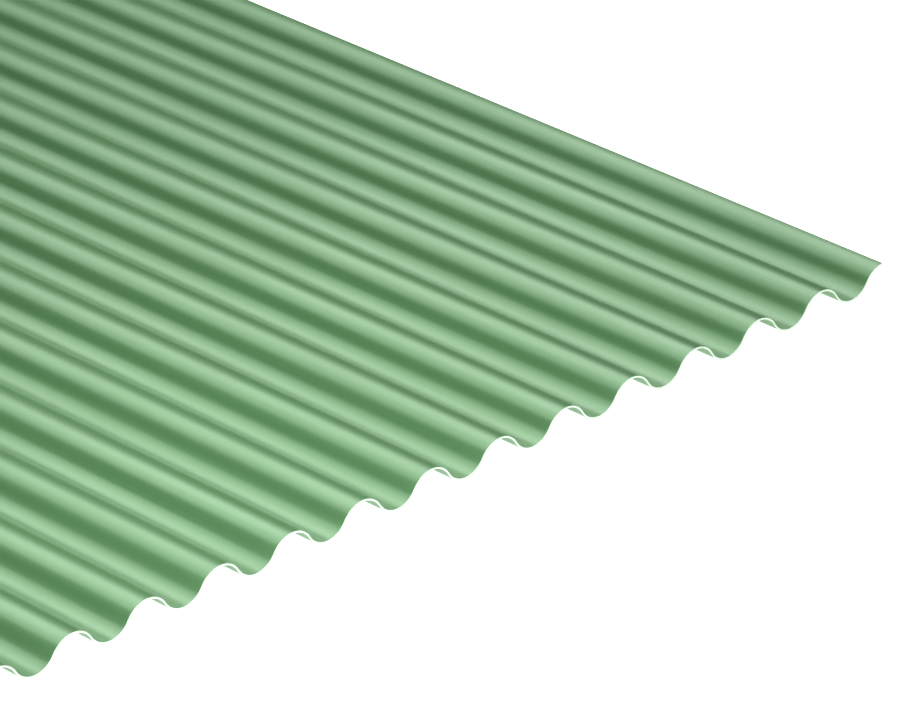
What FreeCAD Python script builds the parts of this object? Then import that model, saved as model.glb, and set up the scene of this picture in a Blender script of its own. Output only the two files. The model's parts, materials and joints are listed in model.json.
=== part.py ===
"""Corrugated rigid PVC sheet, one extruded piece.

Frame of the sheet: X runs along the waves, Y across them and Z up. The origin is
under the middle of the sheet, on the level of the trough undersides.
"""
import FreeCAD, Part
import math
import os
import Sketcher

Vector = FreeCAD.Vector

# Driving dimensions, in millimetres.
DRIVING = (
    ("sheet_length", 2000, "along the waves"),
    ("sheet_width", 1100, "across the waves, from edge to edge"),
    ("wave_pitch", 76, "from one crest to the next"),
    ("wave_depth", 23, "overall, from trough underside to crest top"),
    ("gauge", 1.5, "thickness of the wall"),
)

# What follows from them. The wall's middle line is a chain of equal arcs, crest and trough
# in turn, that meet tangent to each other a quarter of a pitch from each crest. Half a wave is
# wave_pitch / 2 long and middle_depth deep, which fixes the radius of both its arcs.
DERIVED = (
    ("middle_depth", "=wave_depth - gauge"),
    ("bend_radius", "=((wave_pitch / 2) ^ 2 + middle_depth ^ 2) / (4 * middle_depth)"),
    ("outer_radius", "=bend_radius + gauge / 2"),
    ("inner_radius", "=bend_radius - gauge / 2"),
    ("crest_centre", "=wave_depth - outer_radius"),
    ("wave_count", "=ceil(sheet_width / wave_pitch)"),
)


def make_sizes(doc):
    """Put the driving and the derived values in a spreadsheet, each under its alias."""
    sheet = doc.addObject("Spreadsheet::Sheet", "Sizes")
    rows = [(name, str(value), note) for name, value, note in DRIVING]
    rows += [(name, formula, "derived") for name, formula in DERIVED]
    for row, (name, text, note) in enumerate(rows, start=1):
        sheet.set(f"A{row}", name)
        sheet.set(f"B{row}", text)
        sheet.set(f"C{row}", note)
        sheet.setAlias(f"B{row}", name)
    doc.recompute()
    return sheet


def plane_of(body, role):
    """Return the body's own origin plane or axis with the given role."""
    return next(item for item in body.Origin.OriginFeatures if item.Role == role)


def new_sketch(body, name, role):
    """Add a sketch to the body, flat on one of its origin planes."""
    sketch = body.newObject("Sketcher::SketchObject", name)
    sketch.AttachmentSupport = [(plane_of(body, role), "")]
    sketch.MapMode = "FlatFace"
    return sketch


def bind(sketch, kind, where, value, name, expression):
    """Add a driving dimension to the sketch and tie it to the spreadsheet."""
    index = sketch.addConstraint(Sketcher.Constraint(kind, *where, value))
    sketch.renameConstraint(index, name)
    sketch.setExpression(f"Constraints.{name}", expression)


def draw_wave(sketch, sheet):
    """Draw the closed section of one wave, from the top of one crest to the next.

    The upper and the lower side of the wall are three arcs each. Arcs of the two sides
    share their centres, so the wall is equally thick all along.
    """
    pitch = sheet.wave_pitch
    outer, inner = sheet.outer_radius, sheet.inner_radius
    upright = math.pi / 2
    turn = math.asin(pitch / 4 / sheet.bend_radius)
    first_crest = Vector(0, sheet.crest_centre, 0)
    trough = Vector(pitch / 2, outer, 0)
    next_crest = Vector(pitch, sheet.crest_centre, 0)

    def side(crest_radius, trough_radius):
        """Draw one side of the wall and return its arcs, in order along Y."""
        arcs = [
            Part.ArcOfCircle(Part.Circle(centre, Vector(0, 0, 1), radius), start, end)
            for centre, radius, start, end in (
                (first_crest, crest_radius, upright - turn, upright),
                (trough, trough_radius, -upright - turn, -upright + turn),
                (next_crest, crest_radius, upright, upright + turn),
            )
        ]
        return sketch.addGeometry(arcs, False)

    upper = side(outer, inner)
    lower = side(inner, outer)
    start, end, centre = 1, 2, 3
    for first, middle, last in (upper, lower):
        sketch.addConstraint([
            Sketcher.Constraint("Tangent", first, start, middle, start),
            Sketcher.Constraint("Tangent", middle, end, last, end),
        ])
    for above, below in zip(upper, lower):
        sketch.addConstraint(Sketcher.Constraint("Coincident", above, centre, below, centre))

    # Straight ends close the section at the two crest tops.
    for above, below, tip in ((upper[0], lower[0], end), (upper[2], lower[2], start)):
        top = sketch.getPoint(above, tip)
        bottom = sketch.getPoint(below, tip)
        edge = sketch.addGeometry(Part.LineSegment(top, bottom), False)
        sketch.addConstraint([
            Sketcher.Constraint("Coincident", edge, start, above, tip),
            Sketcher.Constraint("Coincident", edge, end, below, tip),
            Sketcher.Constraint("Vertical", edge),
            Sketcher.Constraint("Vertical", above, tip, above, centre),
        ])

    # The tangent joints settle what is left: the crests' height and the other two radii.
    origin = (-1, 1)
    first, middle, last = upper
    sketch.addConstraint(Sketcher.Constraint("PointOnObject", first, centre, -2))
    for name, kind, arc, distance, size in (
        ("half_pitch", "DistanceX", middle, pitch / 2, "wave_pitch / 2"),
        ("pitch", "DistanceX", last, pitch, "wave_pitch"),
        ("trough_centre", "DistanceY", middle, outer, "outer_radius"),
    ):
        bind(sketch, kind, (*origin, arc, centre), distance, name, f"Sizes.{size}")
    for name, arc, radius, size in (
        ("first_crest_top", first, outer, "outer_radius"),
        ("next_crest_top", last, outer, "outer_radius"),
        ("trough_floor", middle, inner, "inner_radius"),
        ("first_crest_underside", lower[0], inner, "inner_radius"),
    ):
        bind(sketch, "Radius", (arc,), radius, name, f"Sizes.{size}")


def draw_trim(sketch, sheet):
    """Draw the rectangle past the far edge, where the last wave is cut to the width."""
    near, far = sheet.sheet_width, sheet.sheet_width + sheet.wave_pitch
    low, high = -sheet.wave_depth, 2 * sheet.wave_depth
    corners = [Vector(near, low, 0), Vector(far, low, 0), Vector(far, high, 0), Vector(near, high, 0)]
    sides = [
        sketch.addGeometry(Part.LineSegment(corners[i], corners[(i + 1) % 4]), False)
        for i in range(4)
    ]
    for i in range(4):
        sketch.addConstraint(Sketcher.Constraint("Coincident", sides[i], 2, sides[(i + 1) % 4], 1))
    bottom, right, top, left = sides
    sketch.addConstraint([
        Sketcher.Constraint("Horizontal", bottom),
        Sketcher.Constraint("Horizontal", top),
        Sketcher.Constraint("Vertical", right),
        Sketcher.Constraint("Vertical", left),
    ])
    bind(sketch, "DistanceX", (-1, 1, bottom, 1), near, "sheet_edge", "Sizes.sheet_width")
    bind(sketch, "DistanceX", (bottom, 1, bottom, 2), far - near, "offcut", "Sizes.wave_pitch")
    bind(sketch, "DistanceY", (bottom, 1, -1, 1), -low, "below", "Sizes.wave_depth")
    bind(sketch, "DistanceY", (bottom, 1, top, 1), high - low, "reach", "3 * Sizes.wave_depth")


def make_sheet(doc, sheet):
    """Extrude one wave, repeat it across the width and cut the last wave to size."""
    body = doc.addObject("PartDesign::Body", "CorrugatedSheet")
    body.Label = "corrugated_sheet"

    section = new_sketch(body, "WaveSection", "YZ_Plane")
    draw_wave(section, sheet)
    doc.recompute()

    wave = body.newObject("PartDesign::Pad", "OneWave")
    wave.Profile = section
    wave.SideType = "Symmetric"
    wave.setExpression("Length", "Sizes.sheet_length")
    section.Visibility = False
    doc.recompute()

    waves = body.newObject("PartDesign::LinearPattern", "Waves")
    waves.Originals = [wave]
    waves.Direction = (plane_of(body, "Y_Axis"), [""])
    waves.Mode = "Spacing"
    waves.setExpression("Offset", "Sizes.wave_pitch")
    waves.setExpression("Occurrences", "Sizes.wave_count")
    body.Tip = waves
    doc.recompute()
    untrimmed = waves.Shape.Volume

    offcut = new_sketch(body, "Offcut", "YZ_Plane")
    draw_trim(offcut, sheet)
    doc.recompute()

    trim = body.newObject("PartDesign::Pocket", "TrimToWidth")
    trim.Profile = offcut
    trim.SideType = "Symmetric"
    trim.Type = "ThroughAll"
    body.Tip = trim
    doc.recompute()

    # The crest-ended edge lies at +Y, so the waves run from there towards -Y.
    body.Placement = FreeCAD.Placement(
        Vector(0, sheet.sheet_width / 2, 0), FreeCAD.Rotation(Vector(0, 0, 1), 180))
    body.setExpression(".Placement.Base.y", "Sizes.sheet_width / 2")
    doc.recompute()
    trimmed = sheet.sheet_width / (sheet.wave_count * sheet.wave_pitch)
    print(f"kept by the trim: {body.Shape.Volume / untrimmed:.4f} of the waves, width says {trimmed:.4f}")
    return body


def check(doc, bodies):
    """Stop if any object failed, or any body isn't one valid closed solid."""
    for item in doc.Objects:
        if "Invalid" in item.State or "Error" in item.State:
            raise RuntimeError(f"{item.Name} failed: {item.State}")
    for body in bodies:
        shape = body.Shape
        if shape.isNull() or not shape.isValid() or len(shape.Solids) != 1:
            raise RuntimeError(f"{body.Label} isn't one valid solid")


def main():
    doc = FreeCAD.newDocument("CorrugatedSheet")
    sheet = make_sizes(doc)
    body = make_sheet(doc, sheet)
    check(doc, [body])
    os.makedirs("parts", exist_ok=True)
    body.Shape.exportStep(os.path.join("parts", body.Label + ".step"))
    box = body.Shape.BoundBox
    print(f"{body.Label}: {box.XLength:.2f} x {box.YLength:.2f} x {box.ZLength:.2f} mm, "
          f"{len(body.Shape.Faces)} faces, {body.Shape.Volume / 1e6:.4f} litres")
    print(f"bend radius {sheet.bend_radius:.3f}, waves {sheet.wave_count}")


main()
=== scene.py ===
# %% [markdown]
# # A corrugated sheet of rigid PVC
#
# The real thing is one skin of green PVC, extruded flat and pressed into round waves while it is
# still warm. It is opaque, smooth and satin, with plain sawn ends. Everything that the eye reads
# comes from three things: the true curve of the waves, the way a satin plastic mirrors soft
# light along them, and the thin pale line where the saw has cut the wall.
#
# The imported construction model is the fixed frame. Its mesh is made for checks and has few
# facets, so this lesson rebuilds the same surface from its formula, finely enough to mirror light.

import json
import math

import bpy
import numpy as np
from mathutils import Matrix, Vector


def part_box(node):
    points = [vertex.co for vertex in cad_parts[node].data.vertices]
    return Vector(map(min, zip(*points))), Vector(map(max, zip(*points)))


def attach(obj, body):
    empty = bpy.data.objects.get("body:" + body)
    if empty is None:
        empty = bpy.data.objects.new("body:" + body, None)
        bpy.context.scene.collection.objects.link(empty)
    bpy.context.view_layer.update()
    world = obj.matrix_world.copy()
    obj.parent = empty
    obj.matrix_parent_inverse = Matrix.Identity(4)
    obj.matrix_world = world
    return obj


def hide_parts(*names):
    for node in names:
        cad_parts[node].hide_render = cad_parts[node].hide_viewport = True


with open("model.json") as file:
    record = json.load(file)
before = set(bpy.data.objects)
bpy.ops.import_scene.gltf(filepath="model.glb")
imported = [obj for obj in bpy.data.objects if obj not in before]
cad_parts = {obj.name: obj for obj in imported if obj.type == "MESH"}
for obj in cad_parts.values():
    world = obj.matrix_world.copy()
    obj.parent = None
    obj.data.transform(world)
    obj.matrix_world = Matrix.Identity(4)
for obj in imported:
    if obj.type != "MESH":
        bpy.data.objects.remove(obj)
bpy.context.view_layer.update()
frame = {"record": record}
MM = 0.001
node = frame["record"]["subparts"][0]["node"]
low, high = (np.array(corner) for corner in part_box(node))
print(f"{node}: {(high - low) / MM} mm")

# %% [markdown]
# ## The section of the wall
#
# Across the waves, the wall's middle line is a chain of equal arcs, crest and trough in turn, that
# meet tangent to each other halfway down the flank. Three sizes fix it: the pitch, the overall depth
# and the wall. The radius follows from them, as it does for the roller that presses the wave.

# %% Sizes of a wave
pitch = 76 * MM
wall = 1.5 * MM
depth = 23 * MM

middle_depth = depth - wall
bend_radius = ((pitch / 2) ** 2 + middle_depth**2) / (4 * middle_depth)
steepest = math.asin(pitch / 4 / bend_radius)
length = high[0] - low[0]
width = high[1] - low[1]
print(f"bend radius {bend_radius / MM:.2f} mm, steepest slope {math.degrees(steepest):.1f} degrees")


# %% The middle line as a formula
def middle_line(across):
    """Height and slope of the wall's middle line, at distances from the crest-ended edge.

    d is the distance to the nearest crest, from 0 to half a pitch. Within a quarter of a pitch
    of the crest the height is crest centre + sqrt(r^2 - d^2). Beyond that it is trough centre -
    sqrt(r^2 - (pitch/2 - d)^2). The slope is the angle by which the line climbs as the distance
    grows, and its sine is the distance to the crest or the trough over r.
    """
    from_crest = across - np.round(across / pitch) * pitch
    d = np.abs(from_crest)
    on_crest = d < pitch / 4
    reach = np.where(on_crest, d, pitch / 2 - d)
    rise = np.sqrt(bend_radius**2 - reach**2)
    crest_height = depth - wall / 2 - bend_radius + rise
    trough_height = wall / 2 + bend_radius - rise
    height = np.where(on_crest, crest_height, trough_height)
    slope = -np.sign(from_crest) * np.arcsin(reach / bend_radius)
    return height, slope


# %% Where the grid lines fall across the waves
def stations_across(steps_per_arc=20):
    """Distances from the crest-ended edge, in equal steps of turn round each arc.

    On an arc the distance from its crest or trough is r * sin(turn), so equal steps of turn
    give each facet the same bend.
    """
    turn = np.linspace(-steepest, steepest, steps_per_arc + 1)
    half_waves = np.arange(math.ceil(2 * width / pitch) + 1) * pitch / 2
    across = half_waves[:, None] + bend_radius * np.sin(turn[None, :-1])
    inside = across[(across > 0) & (across < width)]
    return np.concatenate([[0.0], inside, [width]])


across = stations_across()
height, slope = middle_line(across)
print(f"{len(across)} grid lines across, heights {height.min() / MM:.2f} to {height.max() / MM:.2f} mm")

# %% [markdown]
# ## The sheet
#
# The sheet could be a subdivided plane with a wave modifier and a solidify modifier. Computing it is
# just as short and it is exact: the two faces of the wall lie half a wall either side of the
# middle line, measured square to it, and the section is carried unchanged along the length.


# %% The two faces of the wall
def wall_face(side, along):
    """Grid of points of one face of the wall, side +1 for the top and -1 for the underside.

    A point is (x, y, z) = (along, edge - (across - n sin(slope)), height + n cos(slope)), where
    n is half a wall times side. Its distance across is kept between the two sawn edges.
    """
    offset = side * wall / 2
    y = np.clip(across - offset * np.sin(slope), 0, width)
    z = height + offset * np.cos(slope)
    grid = np.empty((len(along), len(across), 3))
    grid[..., 0] = along[:, None]
    grid[..., 1] = high[1] - y[None, :]
    grid[..., 2] = z[None, :]
    return grid


def strip(rows):
    """Quads that join a list of equally long rows of point numbers, each row to the next."""
    rows = np.asarray(rows)
    quads = np.stack([rows[:-1, :-1], rows[:-1, 1:], rows[1:, 1:], rows[1:, :-1]], axis=-1)
    return quads.reshape(-1, 4)


# %% One closed mesh
def make_sheet(name, cells_along=40, crease_degrees=40):
    """Closed skin of the sheet: top, underside, two sawn ends and two sawn long edges.

    The top and the underside are the pressed skin and take the first material. The ends and
    the long edges are the sawn rim and take the second. The rim meets the skin square, far past
    the crease angle, so its edges stay crisp while the waves are shaded smooth.
    """
    along = np.linspace(low[0], high[0], cells_along + 1)
    top, under = wall_face(1, along), wall_face(-1, along)
    points = np.concatenate([top.reshape(-1, 3), under.reshape(-1, 3)])
    number = np.arange(len(points)).reshape(2, len(along), len(across))
    # The underside is wound backwards, and each rim row runs so that its faces look outwards.
    skin = np.concatenate([strip(number[0]), strip(number[1])[:, ::-1]])
    rim_rows = (number[:, 0, ::-1], number[:, -1, :], number[:, :, 0], number[:, ::-1, -1])
    faces = np.concatenate([skin] + [strip(row) for row in rim_rows])
    on_rim = np.arange(len(faces)) >= len(skin)
    mesh = bpy.data.meshes.new(name)
    mesh.from_pydata(points.tolist(), [], faces.tolist())
    mesh.polygons.foreach_set("use_smooth", np.ones(len(faces), bool))
    mesh.polygons.foreach_set("material_index", on_rim.astype(np.int32))
    mesh.set_sharp_from_angle(angle=math.radians(crease_degrees))
    mesh.validate()
    piece = bpy.data.objects.new(name, mesh)
    bpy.context.scene.collection.objects.link(piece)
    return piece


sheet = make_sheet("pvc_sheet")
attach(sheet, "root")
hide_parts(node)
print(f"{len(sheet.data.polygons)} quads")


# %% [markdown]
# ## Materials
#
# Rigid PVC is coloured right through, so the same green shows on both faces. Its skin copies the
# polished die and the forming rollers, and is satin rather than glossy. The sawn rim is the only
# other finish: the saw tears the wall a little, and torn plastic turns pale, and the rest of its
# near-white colour is a painted highlight, the light that a cut edge catches. Every pattern below is
# sized in mm and read from object coordinates, so it stays the same when the sheet is resized.


# %% Colour and node helpers
def linear(hex_colour):
    """An sRGB hex colour as linear RGBA, the form that shaders count in."""
    channels = [int(hex_colour[i:i + 2], 16) / 255 for i in (1, 3, 5)]
    return [c / 12.92 if c <= 0.04045 else ((c + 0.055) / 1.055) ** 2.4 for c in channels] + [1.0]


def add_node(tree, kind, settings=None, links=None):
    """Add a node, set its properties and sockets by name, and link sockets that feed it."""
    made = tree.nodes.new(kind)
    for key, value in (settings or {}).items():
        if hasattr(made, key):
            setattr(made, key, value)
        else:
            made.inputs[key].default_value = value
    for key, source in (links or {}).items():
        tree.links.new(source, made.inputs[key])
    return made


def new_material(name):
    """An empty node material."""
    material = bpy.data.materials.new(name)
    material.use_nodes = True
    material.node_tree.nodes.clear()
    return material


def grain(tree, size_mm):
    """Noise from 0 to 1 whose features are size_mm long in x, y and z."""
    place = add_node(tree, "ShaderNodeTexCoord")
    scale = [1 / (size * MM) for size in size_mm]
    scaled = add_node(tree, "ShaderNodeMapping", {"Scale": scale}, {"Vector": place.outputs["Object"]})
    noise = add_node(tree, "ShaderNodeTexNoise", {"Scale": 1.0, "Detail": 2.0},
                     {"Vector": scaled.outputs["Vector"]})
    return noise.outputs["Fac"]


# A noise seldom leaves 0.25 to 0.75. A range node with these settings spreads that middle over
# the two values it is given, easing into both, so that no outline shows where it stops.
eased = {"interpolation_type": "SMOOTHSTEP", "From Min": 0.25, "From Max": 0.75}


# %% [markdown]
# ### Extruded rigid PVC
#
# The melt leaves a flat die, runs over polished rolls and is pressed into waves while warm. The
# die draws faint lines along the length, a few mm apart and a few hundredths of a mm high. The
# cooling skin has a soft orange peel. Handling leaves broad patches that are a touch more matt. The
# pigment sits in the skin itself, so the satin part of the reflection keeps some of the green.

# %% Extruded rigid PVC
pvc_ior = 1.53


def extruded_rigid_pvc():
    """Satin green plastic with die lines, orange peel and slow changes of gloss."""
    material = new_material("extruded_rigid_pvc")
    tree = material.node_tree
    die_lines = grain(tree, (1500, 7, 7))
    haze = grain(tree, (260, 120, 120))
    peel = grain(tree, (4, 3, 3))

    # Pigment that is mixed a little unevenly is drawn out into long pale and dark streaks.
    shade = add_node(tree, "ShaderNodeMapRange", {**eased, "To Min": 0.95, "To Max": 1.05},
                     {"Value": die_lines})
    streaks = add_node(tree, "ShaderNodeHueSaturation", {"Color": linear("#5D895C")},
                       {"Value": shade.outputs["Result"]})
    # Two scales of relief: die lines catch the light along the sheet, the peel softens it.
    lines_relief = add_node(tree, "ShaderNodeBump", {"Strength": 1.0, "Distance": 0.025 * MM},
                            {"Height": die_lines})
    relief = add_node(tree, "ShaderNodeBump", {"Strength": 1.0, "Distance": 0.008 * MM},
                      {"Height": peel, "Normal": lines_relief.outputs["Normal"]})
    satin = add_node(tree, "ShaderNodeMapRange", {**eased, "To Min": 0.28, "To Max": 0.33},
                     {"Value": haze})
    shader = add_node(tree, "ShaderNodeBsdfPrincipled", {
        "IOR": pvc_ior,
        "Specular Tint": (0.65, 1.0, 0.65, 1.0),
    }, {
        "Base Color": streaks.outputs["Color"],
        "Roughness": satin.outputs["Result"],
        "Normal": relief.outputs["Normal"],
    })
    add_node(tree, "ShaderNodeOutputMaterial", links={"Surface": shader.outputs["BSDF"]})
    return material


sheet.data.materials.append(extruded_rigid_pvc())
print("faces: extruded rigid PVC")


# %% [markdown]
# ### Sawn rigid PVC
#
# The ends and the long edges are cut with a fine saw. Its teeth leave upright marks about a mm
# apart, and tearing whitens the plastic a little. The rest of the rim's near-white colour is a painted
# highlight, the light that a cut edge catches, so the rim reads as a thin pale line round the sheet.

# %% Sawn rigid PVC
def sawn_rigid_pvc():
    """Pale matt green, partly whitened plastic and partly painted highlight, with the upright marks of
    the saw through the wall.
    """
    material = new_material("sawn_rigid_pvc")
    tree = material.node_tree
    saw_marks = grain(tree, (1.1, 1.1, 14))
    shade = add_node(tree, "ShaderNodeMapRange", {**eased, "To Min": 0.88, "To Max": 1.06},
                     {"Value": saw_marks})
    # Painted highlight: the near-white rim colour is partly whitened sawn plastic and partly the light
    # a cut edge catches.
    whitened_and_painted_highlight = add_node(tree, "ShaderNodeHueSaturation", {"Color": linear("#DAF1DB")},
                        {"Value": shade.outputs["Result"]})
    relief = add_node(tree, "ShaderNodeBump", {"Strength": 1.0, "Distance": 0.05 * MM},
                      {"Height": saw_marks})
    matt = add_node(tree, "ShaderNodeMapRange", {**eased, "To Min": 0.6, "To Max": 0.8},
                    {"Value": saw_marks})
    shader = add_node(tree, "ShaderNodeBsdfPrincipled", {"IOR": pvc_ior}, {
        "Base Color": whitened_and_painted_highlight.outputs["Color"],
        "Roughness": matt.outputs["Result"],
        "Normal": relief.outputs["Normal"],
    })
    add_node(tree, "ShaderNodeOutputMaterial", links={"Surface": shader.outputs["BSDF"]})
    return material


sheet.data.materials.append(sawn_rigid_pvc())
print("rim: sawn rigid PVC")


# %% [markdown]
# ## Camera
#
# The view is a long lens from well above the near corner, turned almost halfway between the waves'
# direction and the sawn end, so that the waves run off to the upper left.

# %% Camera
azimuth, elevation = math.radians(45.32), math.radians(26.56)
# The camera looks at a point on the sheet, this far in from the corner of the sawn end.
target = np.array([high[0] - 146.4 * MM, high[1] - 366.8 * MM, depth / 2])
distance = 5.371
back = np.array([
    math.sin(azimuth) * math.cos(elevation),
    -math.cos(azimuth) * math.cos(elevation),
    math.sin(elevation),
])
camera_data = bpy.data.cameras.new("camera")
camera_data.lens = 261.8
camera_data.sensor_width = 36
camera_data.clip_end = 50
camera = bpy.data.objects.new("camera", camera_data)
camera.location = target + back * distance
camera.rotation_euler = (math.pi / 2 - elevation, 0, azimuth)
bpy.context.scene.collection.objects.link(camera)
bpy.context.scene.camera = camera
print(f"camera {distance} m from the point it looks at, lens {camera_data.lens:.1f} mm")


# %% [markdown]
# ## Floor and light
#
# A satin wave shows whatever stands where it points. One wide soft box behind and to the left is
# mirrored along every crest and every trough floor as a bright band. The flanks that face the
# camera point away from it and stay dark, and so does the thin line behind each crest. A small
# box on the camera's side lights those flanks a little, most at the near corner. A low one lights
# the rim. The floor is white paper on a light table, so it is even and has almost no shadow.

# %% Floor
floor_mesh = bpy.data.meshes.new("floor")
half = 20
corners = [(-half, -half, 0), (half, -half, 0), (half, half, 0), (-half, half, 0)]
floor_mesh.from_pydata(corners, [], [(0, 1, 2, 3)])
floor = bpy.data.objects.new("floor", floor_mesh)
bpy.context.scene.collection.objects.link(floor)

paper = new_material("white_paper")
paper_shader = add_node(paper.node_tree, "ShaderNodeBsdfPrincipled", {
    "Base Color": (0.9, 0.9, 0.9, 1.0),
    "Roughness": 0.9,
    "Emission Color": (1.0, 1.0, 1.0, 1.0),
    "Emission Strength": 0.92,
})
add_node(paper.node_tree, "ShaderNodeOutputMaterial", links={"Surface": paper_shader.outputs["BSDF"]})
floor.data.materials.append(paper)
print(f"floor: lit white paper, {2 * half} m square")


# %% Soft boxes
def soft_box(name, bearing, climb, away, size, watts, aim):
    """Rectangular soft box, bearing degrees from +X towards +Y and climb degrees up, seen from aim."""
    turn, up = math.radians(bearing), math.radians(climb)
    toward = np.array([math.cos(up) * math.cos(turn), math.cos(up) * math.sin(turn), math.sin(up)])
    data = bpy.data.lights.new(name, "AREA")
    data.shape = "RECTANGLE"
    data.size, data.size_y = size
    data.energy = watts
    box = bpy.data.objects.new(name, data)
    box.location = np.array(aim) + toward * away
    box.rotation_euler = (math.pi / 2 - up, 0, turn + math.pi / 2)
    box.visible_camera = False
    bpy.context.scene.collection.objects.link(box)
    return data


# A grid on a soft box narrows the angle it shines over. On the wide box it lets the light fall off
# towards the far end, and on the small one it keeps the light on the near corner.
behind = soft_box("box_behind", bearing=163, climb=49, away=5.0, size=(6.6, 2.2), watts=120,
                  aim=(1.1, -0.3, 0.0))
behind.spread = math.radians(110)
front = soft_box("box_front", bearing=308, climb=50, away=1.3, size=(0.5, 0.5), watts=1.15,
                 aim=(0.88, -0.06, 0.0))
front.spread = math.radians(55)
soft_box("box_low", bearing=340, climb=10, away=3.0, size=(1.5, 0.8), watts=36,
         aim=(1.0, 0.0, 0.0))

# The room itself is dim, so flanks turned away from every box stay dark but not black.
world = bpy.data.worlds.new("studio")
bpy.context.scene.world = world
world.use_nodes = True
world.node_tree.nodes["Background"].inputs["Color"].default_value = (1, 1, 1, 1)
world.node_tree.nodes["Background"].inputs["Strength"].default_value = 0.03
bpy.context.scene.view_settings.view_transform = "Standard"
print("three soft boxes and a dim white studio")
